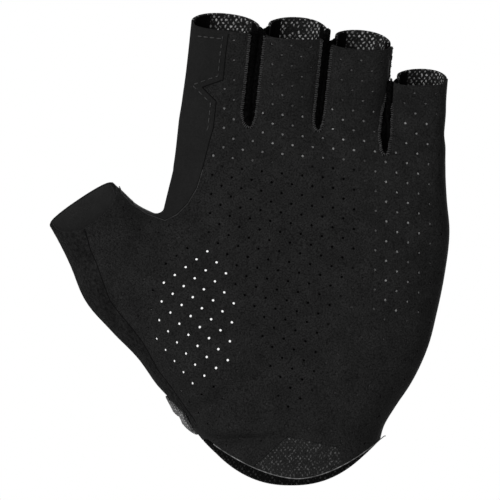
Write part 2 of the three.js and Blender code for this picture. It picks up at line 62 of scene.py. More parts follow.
# Slots: how far the crotch lies above the crotch line, how far the palm's edges lie beside it, and how
# much each wall fills in near the side seam
SLOTS = [
    dict(bottom=0, left=3.9, right=1.9, close=1.1),
    dict(bottom=-1.3, left=2.6, right=1.9, close=1.1),
    dict(bottom=-9.2, left=2.9, right=1.9, close=1.3),
]
SLOT_BEND = 1.6  # a slot's back half lies this far aside, so that it can't be looked through
SLOT_BEND_OVER = 4
SLIT_HALF = 0.5  # half the width of the slit that a slot is near the side seam
SLIT_DEPTH = 2  # how far the slit reaches to the front and back before it widens
SLOT_WIDENS_OVER = 5.5
SLOT_WIDENS_POWER = 1.5
SLOT_BACK_SHARE = 0.08  # of the front's widening
THUMB_OUT = 71.6
THUMB_UP = 85.2
THUMB_WIDTH = 26
THUMB_DEPTH = 19
THUMB_CURL = 30

# Sections: the exponents of their front and back halves, and the two halves' shares of a finger's depth
HAND_POWERS = (2.7, 2.4)
FINGER_POWERS = (2.9, 2.05)
THUMB_POWERS = (2.3, 1.8)  # at its rim and at its base
FINGER_HALVES = (0.42, 0.58)

# How softly the forms run into each other
THUMB_BLEND = 9
FINGER_BLEND = 6
NEIGHBOUR_BLEND = 0.6
SLOT_BLEND = 1.2
KNUCKLE_BLEND = 5
FINGER_ROOT_BLEND = 3
SIDE_SEAM_BLEND = 0.15  # share of the blend that is left at the side seam
FULL_BLEND_DEPTH = 8

# Dents in the palm: centre, reach sideways and up, depth
PALM_DENTS = [
    ((6, 62), (20, 26), 1.6),
    ((-17, 5.8), (13, 1.5), 2.0),
]

# Wrist. A rim's right is the half width on the little finger's side, where it may rise past the corner.
WRIST_HALF = 30.6
RIM_SIDE = 5.6
PALM_RIM = dict(drop=13, middle=2, right=27.8, power=1.75)
BACK_RIM = dict(drop=16.4, middle=-0.2, right=30.6, power=2.3)
RIM_REACH = 1.05
CUFF_HEIGHT = 12
HEEL_HEIGHT = 14.2
HEEL_WIDTH = 30.5
KEYHOLE_LENGTH = 51
KEYHOLE_WIDTH = 31
KEYHOLE_TURN = math.radians(-5)
TAB_LENGTH = 46
TAB_WIDTH = 10
TAB_TURN = math.radians(-14)

# Side seams
SIDE_SEAM_BACK = 2
FINGER_BEND_FROM = 0.88 * PALM_HEIGHT
THUMB_BEND_SHARE = -0.4  # of the finger row
FINGER_BEND_SLOPE = 0.33
THUMB_BEND_SLOPE = 0.4

FAR = 120  # beyond the glove on every side
ROW = sum(f["width"] for f in FINGERS) + FINGER_GAP * (len(FINGERS) - 1)  # breadth over the fingers

# Columns: up and drop are shares of PALM_HEIGHT, left and right of ROW, front and back of PALM_DEPTH
HAND = np.array([
    [-0.2, -0.305, 0.313, 0.55, 0.56, 0],
    [-0.08, -0.329, 0.31, 0.57, 0.58, 0],
    [0.045, -0.348, 0.342, 0.57, 0.57, 0],
    [0.085, -0.388, 0.356, 0.57, 0.56, 0],
    [0.142, -0.425, 0.399, 0.56, 0.54, 0],
    [0.213, -0.5, 0.461, 0.55, 0.51, 0],
    [0.322, -0.545, 0.528, 0.53, 0.48, 0],
    [0.43, -0.56, 0.565, 0.5, 0.46, 0],
    [0.539, -0.552, 0.594, 0.47, 0.45, 0],
    [0.677, -0.522, 0.614, 0.44, 0.44, 0],
    [0.77, -0.492, 0.604, 0.42, 0.43, 0.01],
    [0.85, -0.463, 0.599, 0.4, 0.41, 0.03],
    [0.91, -0.445, 0.598, 0.38, 0.375, 0.05],
    [0.96, -0.435, 0.596, 0.345, 0.345, 0.07],
    [1.0, -0.428, 0.588, 0.3, 0.29, 0.075],
])
# Columns: out of THUMB_OUT, up of THUMB_UP, wide of THUMB_WIDTH, turn in degrees, ahead, front and back
# of THUMB_DEPTH, and tilt of THUMB_CURL
THUMB = np.array([
    [1, 1, 1, 34, 0.14, 0.78, 0.19, 1],
    [0.955, 0.948, 1.07, 41, 0.13, 0.73, 0.26, 0.9],
    [0.897, 0.876, 1.19, 46, 0.11, 0.71, 0.36, 0.7],
    [0.829, 0.8, 1.43, 51, 0.1, 0.69, 0.5, 0.4],
    [0.669, 0.706, 1.73, 52, 0.1, 0.68, 0.67, 0.1],
    [0.515, 0.599, 1.84, 49, 0.05, 0.8, 0.72, 0],
    [0.408, 0.45, 1.71, 43, 0, 0.88, 0.76, 0],
    [0.345, 0.302, 1.27, 34, 0, 0.9, 0.8, 0],
])
# Columns: along the way from crotch line to rim, tilt of the curl, wide and deep of the finger's size
FINGER_RUN = np.array([
    [0, 0.15, 1.04, 1.06],
    [0.2, 0.5, 1.04, 1.06],
    [0.5, 0.85, 1.01, 1.02],
    [0.8, 1, 1, 1],
    [1, 1, 1, 1],
])

# Seams in the front view: x is a share of ROW and z a share of PALM_HEIGHT
SIDE_SEAM = [
    (-0.228, 1.45), (-0.244, 1.27), (-0.256, 1.205), (-0.266, 1.126), (-0.345, 1.105),
    (-0.293, 1.065), (-0.304, 0.982), (-0.318, 0.947), (-0.343, 0.87), (-0.369, 0.803),
    (-0.406, 0.755), (-0.448, 0.722), (-0.495, 0.704), (-0.564, 0.721), (-0.628, 0.752),
    (-0.668, 0.785), (-0.73, 0.911),
]
WIPE_END = (-0.36, 0.081)
PAST_WIPE_END = (-0.55, 0.081)
WIPE_SEAM = [
    (-0.902, 0.85), (-0.805, 0.68), (-0.782, 0.617), (-0.759, 0.578), (-0.735, 0.524),
    (-0.707, 0.466), (-0.672, 0.43), (-0.617, 0.379), (-0.578, 0.34), (-0.547, 0.298),
    (-0.52, 0.258), (-0.472, 0.211), (-0.425, 0.16), (-0.402, 0.134), (-0.38, 0.112), WIPE_END,
    PAST_WIPE_END,
]
WIPE_BACK_SEAM = [
    (-0.69, 0.96), (-0.6, 0.7), (-0.61, 0.55), (-0.63, 0.42), (-0.59, 0.32), (-0.48, 0.22),
    (-0.41, 0.14), (-0.38, 0.108), WIPE_END, PAST_WIPE_END,
]
# How far up beside a slot and how far out the palm's edge runs. The outer slot's edges meet again at
# its top, where the ring finger and the little finger touch.
SLOT_SEAM = [(0, 0.3), (0.07, 0.7), (0.22, 0.95), (1.6, 1)]
OUTER_SLOT_SEAM = [
    (0, 0.3), (0.08, 0.7), (0.25, 0.95), (0.6, 0.92), (0.95, 0.4), (1.3, 0.32), (1.7, 0.3),
]
SLOT_SEAM_RUN = 24
SLOT_SEAM_BELOW = 1.8


def scaled(rows):
    return np.array([(x * ROW, z * PALM_HEIGHT) for x, z in rows])


def ramp(value, start, run):
    """0 up to start, 1 past start + run and straight between."""
    return np.clip((value - start) / run, 0, 1)


# Smooth form


def spline(at, values, samples=240):
    """Dense samples of a smooth curve through the rows of values at the places in at."""
    slope = np.gradient(values, at, axis=0)
    t = np.linspace(at[0], at[-1], samples)
    k = np.clip(np.searchsorted(at, t, side="right") - 1, 0, len(at) - 2)
    span = (at[k + 1] - at[k])[:, None]
    u = (t - at[k])[:, None] / span
    ends = (2 * u**3 - 3 * u**2 + 1) * values[k] + (3 * u**2 - 2 * u**3) * values[k + 1]
    bends = (u**3 - 2 * u**2 + u) * slope[k] + (u**3 - u**2) * slope[k + 1]
    return t, ends + span * bends


def section(side, deep, half, front, back, front_power, back_power):
    """Distance to an oval section that is squarer in front."""
    ahead = deep < 0
    reach = np.where(ahead, front, back)
    power = np.where(ahead, front_power, back_power)
    a = np.abs(side) / half
    b = np.abs(deep) / reach
    q = (a**power + b**power + 1e-9) ** (1 / power)
    slope_a = (a / q) ** (power - 1) / half
    slope_b = (b / q) ** (power - 1) / reach
    return (q - 1) / np.sqrt(slope_a**2 + slope_b**2 + 1e-12)


def soft_min(a, b, k):
    h = np.clip(0.5 + 0.5 * (b - a) / k, 0, 1)
    return b + (a - b) * h - k * h * (1 - h)


def soft_max(a, b, k):
    return -soft_min(-a, -b, k)


HAND_UP, HAND_COLUMNS = spline(HAND[:, 0] * PALM_HEIGHT, HAND[:, 1:])


def hand(x, y, z):
    level = z
    for _ in range(2):
        left, right, front, back, drop = (
            np.interp(level, HAND_UP, HAND_COLUMNS[:, c]) for c in range(5)
        )
        middle = (left + right) / 2 * ROW
        half = (right - left) / 2 * ROW
        level = z + drop * PALM_HEIGHT * (x - middle) / (2 * half)
    shape = section(x - middle, y, half, front * PALM_DEPTH, back * PALM_DEPTH, *HAND_POWERS)
    return soft_max(shape, level - PALM_HEIGHT, KNUCKLE_BLEND)


def placed_fingers():
    edge = ROW_SHIFT
    for f in FINGERS:
        f["rim_x"] = edge + f["width"] / 2
        f["root_x"] = f["rim_x"] - f["lean"]
        f["slope"] = f["lean"] / f["reach"]
        edge += f["width"] + FINGER_GAP
        tilts = np.radians(FINGER_RUN[:, 1] * f["curl"])
        up = np.concatenate([[-ROOT_SINK], FINGER_RUN[:, 0] * f["reach"], [2 * f["reach"]]])
        ahead = [FINGER_SET_FORWARD, FINGER_SET_FORWARD]
        for k in range(1, len(tilts)):
            rise = (FINGER_RUN[k, 0] - FINGER_RUN[k - 1, 0]) * f["reach"]
            ahead.append(ahead[-1] + math.tan(tilts[k]) * rise)
        ahead.append(ahead[-1] + math.tan(tilts[-1]) * f["reach"])
        root = [0, 1, 0.8]
        columns = np.column_stack([tilts, FINGER_RUN[:, 2:]])
        rows = np.vstack([root, columns, columns[-1]])
        f["up"], f["columns"] = spline(up, np.column_stack([ahead, rows]))
        f["rim_ahead"] = np.interp(f["reach"], f["up"], f["columns"][:, 0])
        f["rim_tilt"] = tilts[-1]


placed_fingers()


def finger(f, x, y, z):
    up = z - PALM_HEIGHT
    ahead, tilt, wide, deep = (np.interp(up, f["up"], f["columns"][:, c]) for c in range(4))
    side = x - f["root_x"] - f["slope"] * up
    shape = section(
        side,
        (y + ahead) * np.cos(tilt),
        f["width"] * wide / 2,
        f["depth"] * deep * FINGER_HALVES[0],
        f["depth"] * deep * FINGER_HALVES[1],
        *FINGER_POWERS,
    )
    return soft_max(shape, -ROOT_SINK - up, FINGER_ROOT_BLEND)


def above_rim(f, x, y, z):
    """How far a point lies past the plane of a finger's rim."""
    tilt = f["rim_tilt"]
    rise = z - PALM_HEIGHT - f["reach"]
    ahead = (y + f["rim_ahead"]) * math.sin(tilt)
    return rise * math.cos(tilt) - ahead + (x - f["rim_x"]) * f["fall"]


def thumb_rows():
    scale = [THUMB_OUT, THUMB_UP, THUMB_WIDTH / 2, math.pi / 180, THUMB_DEPTH, THUMB_DEPTH]
    return THUMB * (scale + [THUMB_DEPTH, math.radians(THUMB_CURL)])


def thumb_rings():
    """Rings from past the rim to the base, spaced along a smooth curve."""
    rows = thumb_rows()
    outward = rows[0].copy()
    outward[[0, 1, 4]] += 1.8 * (rows[0] - rows[1])[[0, 1, 4]]
    rows = np.vstack([outward, rows])
    at = np.concatenate([[0], np.cumsum(np.hypot(*np.diff(rows[:, :2], axis=0).T))])
    return spline(at, rows, 40)[1]


THUMB_RINGS = thumb_rings()
NOT_NEAR = 40.0  # stands for the distance where a point is nowhere near the thumb


def ring_plane(ring, x, y, z):
    """Sideways, through and along coordinates of points about one ring of the thumb."""
    out, up, _, turn, ahead, _, _, tilt = ring
    dx, dy, dz = x + out, y + ahead, z - up
    side = dx * math.cos(turn) + dz * math.sin(turn)
    axis = dz * math.cos(turn) - dx * math.sin(turn)
    along = axis * math.cos(tilt) - dy * math.sin(tilt)
    through = dy * math.cos(tilt) + axis * math.sin(tilt)
    return side, through, along


def thumb(x, y, z):
    """Distance to the thumb, from the section between the two rings that a point lies between."""
    shape = np.full(x.shape, NOT_NEAR)
    near = (x < 10) & (z > 0) & (z < 1.35 * THUMB_UP)
    x, y, z = x[near], y[near], z[near]
    closest = np.full(len(x), np.inf)
    beyond = np.zeros(len(x))
    place = np.zeros((len(x), 5))
    before, along_before = None, None
    for ring in THUMB_RINGS:
        side, through, along = ring_plane(ring, x, y, z)
        now = np.column_stack([side, through, np.broadcast_to(ring[[2, 5, 6]], (len(x), 3))])
        if before is None:
            here, found = along > 0, now
            beyond[here] = along[here]
        else:
            here = (along_before < 0) & (along >= 0)
            t = along_before / np.where(here, along_before - along, 1)
            found = before + (now - before) * t[:, None]
        away = np.hypot(found[:, 0], found[:, 1])
        better = here & (away < closest)
        closest[better] = away[better]
        place[better] = found[better]
        before, along_before = now, along
    below = np.isinf(closest) & (along_before < 0)
    place[below] = before[below]
    beyond[below] = -along_before[below]
    closest[below] = 0
    side, through, half, front, back = place.T
    power = np.interp(half, [0.5 * THUMB_WIDTH, THUMB_WIDTH], THUMB_POWERS)
    d = section(side, through, np.maximum(half, 1), front + 0.1, back + 0.1, power, power)
    d = np.hypot(np.maximum(d, 0), beyond) + np.minimum(d, 0)
    shape[near] = np.where(np.isfinite(closest), d, NOT_NEAR)
    return shape


def slot_line(k):
    a, b = FINGERS[k], FINGERS[k + 1]
    bottom = PALM_HEIGHT + SLOTS[k]["bottom"]
    rim_x = (a["rim_x"] + a["width"] / 2 + b["rim_x"] - b["width"] / 2) / 2
    rim_z = PALM_HEIGHT + (a["reach"] + b["reach"]) / 2
    lean = (a["lean"] + b["lean"]) / 2
    return bottom, rim_x - lean, lean / (rim_z - bottom)


def split_y(x, z):
    above = np.maximum(z - FINGER_BEND_FROM, 0)
    outside = np.maximum(THUMB_BEND_SHARE * ROW - x, 0)
    return SIDE_SEAM_BACK - above * FINGER_BEND_SLOPE - outside * THUMB_BEND_SLOPE


def slot_spread(k, rise):
    """The share of a slot's full width at a height above its crotch."""
    up, out = np.array(OUTER_SLOT_SEAM if k == 2 else SLOT_SEAM).T
    return np.interp(rise, up * SLOT_SEAM_RUN - SLOT_SEAM_BELOW, out)


def slot(k, x, y, z):
    """The valley between two fingers: as wide as the palm's edges lie apart in front, a slit behind."""
    bottom, at, slope = slot_line(k)
    left, right = SLOTS[k]["left"], SLOTS[k]["right"]
    waist = split_y(0, z) - SIDE_SEAM_BACK - FINGER_SET_FORWARD
    ahead = ramp(np.abs(y - waist), SLIT_DEPTH, SLOT_WIDENS_OVER) ** SLOT_WIDENS_POWER
    ahead = ahead * np.where(y < waist, 1, SLOT_BACK_SHARE)
    spread = ahead * slot_spread(k, z - bottom)
    half = SLIT_HALF + ((left + right) / 2 - SLIT_HALF) * spread
    aside = SLOT_BEND * ramp(y - waist, 0, SLOT_BEND_OVER) + (right - left) / 2 * spread
    below = np.maximum(bottom + half - z, 0)
    return np.hypot(x - at - aside - slope * (z - bottom), below) - half


def dent(x, z, centre, spread, depth):
    return depth * np.exp(-(((x - centre[0]) / spread[0]) ** 2) - ((z - centre[1]) / spread[1]) ** 2)


def skin(p):
    """Distance from the glove's outer surface, negative inside."""
    x, y, z = p[..., 0], p[..., 1], p[..., 2]
    blend = SIDE_SEAM_BLEND + (1 - SIDE_SEAM_BLEND) * ramp(np.abs(y), 0, FULL_BLEND_DEPTH)
    shape = soft_min(hand(x, y, z), thumb(x, y, z), THUMB_BLEND * blend)
    fingers = finger(FINGERS[0], x, y, z)
    for f in FINGERS[1:]:
        fingers = soft_min(fingers, finger(f, x, y, z), NEIGHBOUR_BLEND)
    shape = soft_min(shape, fingers, FINGER_BLEND * blend)
    for k in range(len(SLOTS)):
        shape = soft_max(shape, -slot(k, x, y, z), SLOT_BLEND)
    front = ramp(-y, 0, FULL_BLEND_DEPTH)
    for place in PALM_DENTS:
        shape = shape + front * dent(x, z, *place)
    return shape


def unit(v):
    return v / np.linalg.norm(v, axis=-1, keepdims=True)


def slope_of(p, reach=0.2):
    steps = np.eye(3) * reach
    return np.stack([(skin(p + s) - skin(p - s)) / (2 * reach) for s in steps], -1)


def settled(p, rounds=3):
    """Points moved onto the skin, with the skin's direction there."""
    for _ in range(rounds):
        g = slope_of(p)
        p = p - (skin(p) / np.maximum((g**2).sum(-1), 0.1))[..., None] * g
    return p, unit(slope_of(p))


def skin_mesh():
    """A closed mesh of the skin: one point in each grid cell that the skin passes through."""
    low = np.array(GRID_LOW)
    count = np.ceil(np.array(GRID_SPAN) / STEP).astype(int)
    axes = [low[a] + STEP * np.arange(count[a]) for a in range(3)]
    field = np.concatenate(
        [skin(np.stack(np.meshgrid(part, axes[1], axes[2], indexing="ij"), -1))
         for part in np.array_split(axes[0], 6)]
    )
    field[:, :, 0] = field[:, :, -1] = 1
    inside = field < 0
    corners = np.array([(i, j, k) for i in (0, 1) for j in (0, 1) for k in (0, 1)])
    shape = np.array(field.shape) - 1
    total = sum(
        inside[i : shape[0] + i, j : shape[1] + j, k : shape[2] + k].astype(np.uint8)
        for i, j, k in corners
    )
    active = (total > 0) & (total < 8)
    cells = np.argwhere(active)
    number = np.full(active.shape, -1)
    number[active] = np.arange(len(cells))
    place = np.zeros((len(cells), 3))
    hits = np.zeros(len(cells))
    for a in corners:
        for b in corners:
            if (b - a).sum() != 1 or (b < a).any():
                continue
            fa = field[tuple((cells + a).T)]
            fb = field[tuple((cells + b).T)]
            cross = (fa < 0) != (fb < 0)
            t = np.where(cross, fa / np.where(cross, fa - fb, 1), 0)
            place += cross[:, None] * (a + (b - a) * t[:, None])
            hits += cross
    points = low + (cells + place / hits[:, None]) * STEP
    quads = []
    for axis in range(3):
        one = np.eye(3, dtype=int)[axis]
        u, v = (np.eye(3, dtype=int)[(axis + s) % 3] for s in (1, 2))
        size = np.array(field.shape) - one
        first = inside[: size[0], : size[1], : size[2]]
        second = inside[one[0] :, one[1] :, one[2] :]
        at = np.argwhere(first != second)
        at = at[((at - u - v) >= 0).all(1) & (at < shape).all(1)]
        ring = [number[tuple((at - s).T)] for s in (0 * u, u, u + v, v)]
        quad = np.stack(ring, -1)
        flip = second[tuple(at.T)]
        quad[flip] = quad[flip][:, ::-1]
        quads.append(quad[(quad >= 0).all(1)])
    quads = np.concatenate(quads)
    points, directions = settled(points)
    diagonal = [np.linalg.norm(points[quads[:, a]] - points[quads[:, a + 2]], axis=1) for a in (0, 1)]
    short = diagonal[0] <= diagonal[1]
    halves = ((short, [0, 1, 2]), (short, [0, 2, 3]), (~short, [0, 1, 3]), (~short, [1, 2, 3]))
    faces = np.concatenate([quads[which][:, half] for which, half in halves])
    return points, directions, faces


# Cutting and layering


def clip(mesh, keep):
    """The part of a mesh where keep is negative, with clean edges along keep's zero."""
    points, directions, faces = mesh
    g = keep(points)
    g = np.where(np.abs(g) < 1e-4, 1e-4, g)
    inner = (g < 0)[faces]
    n = inner.sum(1)
    whole = faces[n == 3]
    crossed = faces[(n == 1) | (n == 2)]
    alone = (g < 0)[crossed].sum(1) == 1
    is_odd = (g < 0)[crossed] == alone[:, None]
    turn = is_odd.argmax(1)
    turned = crossed[np.arange(len(crossed))[:, None], (turn[:, None] + np.arange(3)) % 3]
    a, b, c = turned.T
    pairs = np.sort(np.concatenate([np.stack([a, b], 1), np.stack([a, c], 1)]), 1)
    unique, where = np.unique(pairs, axis=0, return_inverse=True)
    where = where.ravel()
    i, j = unique.T
    t = (g[i] / (g[i] - g[j]))[:, None]
    new_points = points[i] + (points[j] - points[i]) * t
    new_directions = unit(directions[i] + (directions[j] - directions[i]) * t)
    ab = where[: len(crossed)] + len(points)
    ac = where[len(crossed) :] + len(points)
    tips = np.stack([a, ab, ac], 1)[alone]
    rest = ~alone
    bases = np.concatenate([np.stack([ab, b, c], 1)[rest], np.stack([ab, c, ac], 1)[rest]])
    faces = np.concatenate([whole, tips, bases])
    points = np.concatenate([points, new_points])
    directions = np.concatenate([directions, new_directions])
    used, back = np.unique(faces, return_inverse=True)
    return points[used], directions[used], back.reshape(-1, 3)


def cut(mesh, *keep):
    """The part of a mesh where every distance in keep is negative."""
    for distance in keep:
        mesh = clip(mesh, distance)
    return mesh


def rim_edges(faces):
    """Edges with a face on one side only, in that face's order."""
    edges = np.concatenate([faces[:, [0, 1]], faces[:, [1, 2]], faces[:, [2, 0]]])
    keys = np.sort(edges, 1)
    _, first, count = np.unique(keys, axis=0, return_index=True, return_counts=True)
    return edges[first[count == 1]]


def thickened(mesh, top, bottom, bulge=0.35):
    """A closed layer between two offsets of a skin patch, with rounded edges. top may be a function."""
    points, directions, faces = mesh
    n = len(points)
    top = top(points)[:, None] if callable(top) else np.full((n, 1), float(top))
    edges = rim_edges(faces)
    outward = np.zeros_like(points)
    along = points[edges[:, 1]] - points[edges[:, 0]]
    out = np.cross(along, directions[edges[:, 0]])
    for side in (0, 1):
        np.add.at(outward, edges[:, side], out)
    rim = np.unique(edges)
    length = np.linalg.norm(outward[rim], axis=1, keepdims=True)
    outward = outward[rim] / np.maximum(length, 1e-6)
    thick = top[rim] - bottom
    middle = points[rim] + directions[rim] * (bottom + thick / 2) + outward * bulge * thick
    number = np.full(n, -1)
    number[rim] = 2 * n + np.arange(len(rim))
    a, b = edges.T
    walls = []
    for upper, lower in (((a, b), (number[a], number[b])), ((number[a], number[b]), (a + n, b + n))):
        walls.append(np.stack([upper[0], lower[0], lower[1]], 1))
        walls.append(np.stack([upper[0], lower[1], upper[1]], 1))
    all_points = np.concatenate([points + directions * top, points + directions * bottom, middle])
    all_faces = np.concatenate([faces, faces[:, ::-1] + n, *walls])
    return all_points, all_faces


def from_outline(outline):
    """Signed distance in the front view to a closed outline, negative inside."""
    corners = np.array(outline, float)
    ends = np.roll(corners, -1, axis=0)

    def distance(p):
        x, z = p[:, 0], p[:, 2]
        nearest = np.full(len(p), np.inf)
        within = np.zeros(len(p), bool)
        for (ax, az), (bx, bz) in zip(corners, ends):
            dx, dz = bx - ax, bz - az
            t = np.clip(((x - ax) * dx + (z - az) * dz) / (dx * dx + dz * dz + 1e-12), 0, 1)
            nearest = np.minimum(nearest, np.hypot(x - ax - t * dx, z - az - t * dz))
            crosses = (az > z) != (bz > z)
            within ^= crosses & (x < ax + (z - az) * dx / np.where(dz == 0, 1e-9, dz))
        return np.where(within, -nearest, nearest)

    return distance


def in_front(p):
    return p[:, 1] - split_y(p[:, 0], p[:, 2])


def behind(p):
    return -in_front(p)


def grown(distance, by):
    return lambda p: distance(p) - by


def inverse(distance):
    return lambda p: -distance(p)


def both(*distances):
    return lambda p: np.max([d(p) for d in distances], axis=0)


def either(*distances):
    return lambda p: np.min([d(p) for d in distances], axis=0)


def slot_edge(k):
    """The palm's edge round a slot in the front view, from left rim to right rim."""
    bottom, at, slope = slot_line(k)
    rows = {}
    for sign, reach in ((-1, SLOTS[k]["left"]), (1, SLOTS[k]["right"])):
        rise = np.linspace(0, 1.6, 60) ** 1.3 * SLOT_SEAM_RUN - SLOT_SEAM_BELOW
        out = slot_spread(k, rise)
        rows[sign] = np.column_stack([at + slope * rise + sign * reach * out, bottom + rise])
    return np.concatenate([rows[-1][::-1], rows[1]])


def rim_height(x, rim):
    away = x - rim["middle"]
    share = np.clip(away / rim["right"], np.clip(-away / WRIST_HALF, 0, 1), RIM_REACH)
    return RIM_SIDE - rim["drop"] * (1 - share ** rim["power"])


def below_rim(p):
    rims = [rim_height(p[:, 0], rim) - p[:, 2] for rim in (PALM_RIM, BACK_RIM)]
    return np.where(in_front(p) < 0, *rims)


def heel_outline():
    foot = RIM_SIDE - PALM_RIM["drop"]
    return [
        (-0.5 * HEEL_WIDTH, foot - 20),
        (-0.5 * HEEL_WIDTH, foot - 1),
        (-0.42 * HEEL_WIDTH, foot + 0.3 * HEEL_HEIGHT),
        (-0.05 * HEEL_WIDTH, foot + HEEL_HEIGHT),
        (0.53 * HEEL_WIDTH, foot + 0.72 * HEEL_HEIGHT),
        (0.58 * HEEL_WIDTH, foot - 1),
        (0.58 * HEEL_WIDTH, foot - 20),
    ]


def oval(centre, width, length, turn, steps=48):
    angle = np.linspace(0, 2 * math.pi, steps, endpoint=False)
    across, up = np.cos(angle) * width / 2, np.sin(angle) * length / 2
    c, s = math.cos(turn), math.sin(turn)
    return np.column_stack([centre[0] + across * c - up * s, centre[1] + across * s + up * c])


def tab_outline():
    root = np.array([-0.5 * ROW, RIM_SIDE + 0.97 * TAB_WIDTH])
    half = TAB_WIDTH / 2
    angle = np.linspace(-math.pi / 2, math.pi / 2, 12)
    tip = np.column_stack([TAB_LENGTH - half + half * np.cos(angle), half * np.sin(angle)])
    local = np.vstack([[(-TAB_WIDTH, half), (-TAB_WIDTH, -half)], tip])
    c, s = math.cos(TAB_TURN), math.sin(TAB_TURN)
    return root + local @ np.array([[c, s], [-s, c]])


side_seam, wipe_seam, wipe_back_seam = (scaled(s) for s in (SIDE_SEAM, WIPE_SEAM, WIPE_BACK_SEAM))
above_side_seam = (side_seam[0, 0], 2 * FAR)
left_of_wipe_end = (-FAR, wipe_seam[-1, 1])
palm_far_corners = [left_of_wipe_end, (-FAR, -FAR), (FAR, -FAR), (FAR, 2 * FAR), above_side_seam]
side_far_corners = [(-0.78 * ROW, 0.95 * PALM_HEIGHT), (-FAR, 2 * FAR), above_side_seam]
wipe_far_corners = [left_of_wipe_end, (-FAR, FAR), (wipe_seam[0, 0], FAR)]
wipe_back_far_corners = [left_of_wipe_end, (-FAR, FAR), (wipe_back_seam[0, 0], FAR)]
KEYHOLE_CENTRE = (-0.385 * ROW, 0.4 * PALM_HEIGHT)

in_palm = from_outline(np.vstack([side_seam, wipe_seam, palm_far_corners]))
in_side = from_outline(np.vstack([side_seam, side_far_corners]))
in_wipe = from_outline(np.vstack([wipe_seam, wipe_far_corners]))
in_wipe_back = from_outline(np.vstack([wipe_back_seam, wipe_back_far_corners]))
in_heel = from_outline(heel_outline())
in_slots = [from_outline(slot_edge(k)) for k in range(len(SLOTS))]
in_keyhole = from_outline(oval(KEYHOLE_CENTRE, KEYHOLE_WIDTH, KEYHOLE_LENGTH, KEYHOLE_TURN))
in_tab = from_outline(tab_outline())


def above_cuff(p):
    return rim_height(p[:, 0], BACK_RIM) + CUFF_HEIGHT - p[:, 2]


def beyond_rims(p):
    """Positive past the rims of the fingers and the thumb."""
    x, y, z = p.T
    result = np.full(len(p), -50.0)
    borders = [-0.44 * ROW - 4] + [slot_line(k)[1] for k in range(3)] + [FAR]
    slopes = [0.112] + [slot_line(k)[2] for k in range(3)] + [0]
    bottoms = [PALM_HEIGHT] + [slot_line(k)[0] for k in range(3)] + [0]
    for k, f in enumerate(FINGERS):
        low = borders[k] + slopes[k] * (z - bottoms[k])
        high = borders[k + 1] + slopes[k + 1] * (z - bottoms[k + 1])
        mine = (x >= low) & (x < high) & (z > 0.9 * PALM_HEIGHT)
        result = np.where(mine, above_rim(f, x, y, z), result)
    along = ring_plane(thumb_rows()[0], x, y, z)[2]
    mine = (x < -0.5 * ROW) & (z > 0.5 * THUMB_UP)
    return np.where(mine, along, result)


SMOOTH_ANGLE = math.radians(45)


def new_object(name, points, faces, material, coords=None):
    mesh = bpy.data.meshes.new(name)
    mesh.vertices.add(len(points))
    mesh.vertices.foreach_set("co", (points * MM).astype(np.float32).ravel())
    mesh.loops.add(faces.size)
    mesh.loops.foreach_set("vertex_index", faces.astype(np.int32).ravel())
    mesh.polygons.add(len(faces))
    size = faces.shape[1]
    mesh.polygons.foreach_set("loop_start", np.arange(0, faces.size, size, dtype=np.int32))
    mesh.polygons.foreach_set("loop_total", np.full(len(faces), size, np.int32))
    if coords is not None:
        layer = mesh.uv_layers.new(name="cloth")
        layer.data.foreach_set("uv", coords[faces.ravel()].astype(np.float32).ravel())
    mesh.update()
    mesh.validate()
    mesh.polygons.foreach_set("use_smooth", np.ones(len(mesh.polygons), bool))
    mesh.set_sharp_from_angle(angle=SMOOTH_ANGLE)
    obj = bpy.data.objects.new(name, mesh)
    bpy.context.scene.collection.objects.link(obj)
    mesh.materials.append(material)
    return obj


SIGHT = np.linspace(-28, 14, 169)  # places along a line of sight from the front


def on_skin(rows, outward=0.0, back=False):
    """Points where lines through the front view's (x, z) rows meet the skin, with its direction there."""
    rows = np.asarray(rows, float)
    depth = -SIGHT if back else SIGHT
    grid = np.empty((len(rows), len(depth), 3))
    grid[:, :, 0], grid[:, :, 1], grid[:, :, 2] = rows[:, :1], depth, rows[:, 1:2]
    inside = skin(grid) < 0
    first = np.where(inside.any(1), inside.argmax(1), len(depth) // 2)
    points = np.column_stack([rows[:, 0], depth[first], rows[:, 1]])
    for _ in range(4):
        rise = skin(points)
        slope = (skin(points + [0, 0.1, 0]) - skin(points - [0, 0.1, 0])) / 0.2
        steep = np.sign(slope) * np.maximum(np.abs(slope), 0.25)
        points[:, 1] -= np.clip(rise / np.where(steep == 0, 0.25, steep), -0.4, 0.4)
    directions = unit(slope_of(points))
    return points + directions * outward, directions


def resampled(path, spacing):
    """The same path with evenly spaced points."""
    path = np.asarray(path, float)
    at = np.concatenate([[0], np.cumsum(np.linalg.norm(np.diff(path, axis=0), axis=1))])
    t = np.linspace(0, at[-1], max(int(at[-1] / spacing), 2) + 1)
    return np.column_stack([np.interp(t, at, path[:, c]) for c in range(path.shape[1])])


def frame_along(path, up):
    """Two directions square to a path, the first as near to up as can be."""
    along = np.gradient(path, axis=0)
    along /= np.linalg.norm(along, axis=1, keepdims=True) + 1e-9
    first = up - along * (up * along).sum(1, keepdims=True)
    first /= np.linalg.norm(first, axis=1, keepdims=True) + 1e-9
    return first, np.cross(along, first)


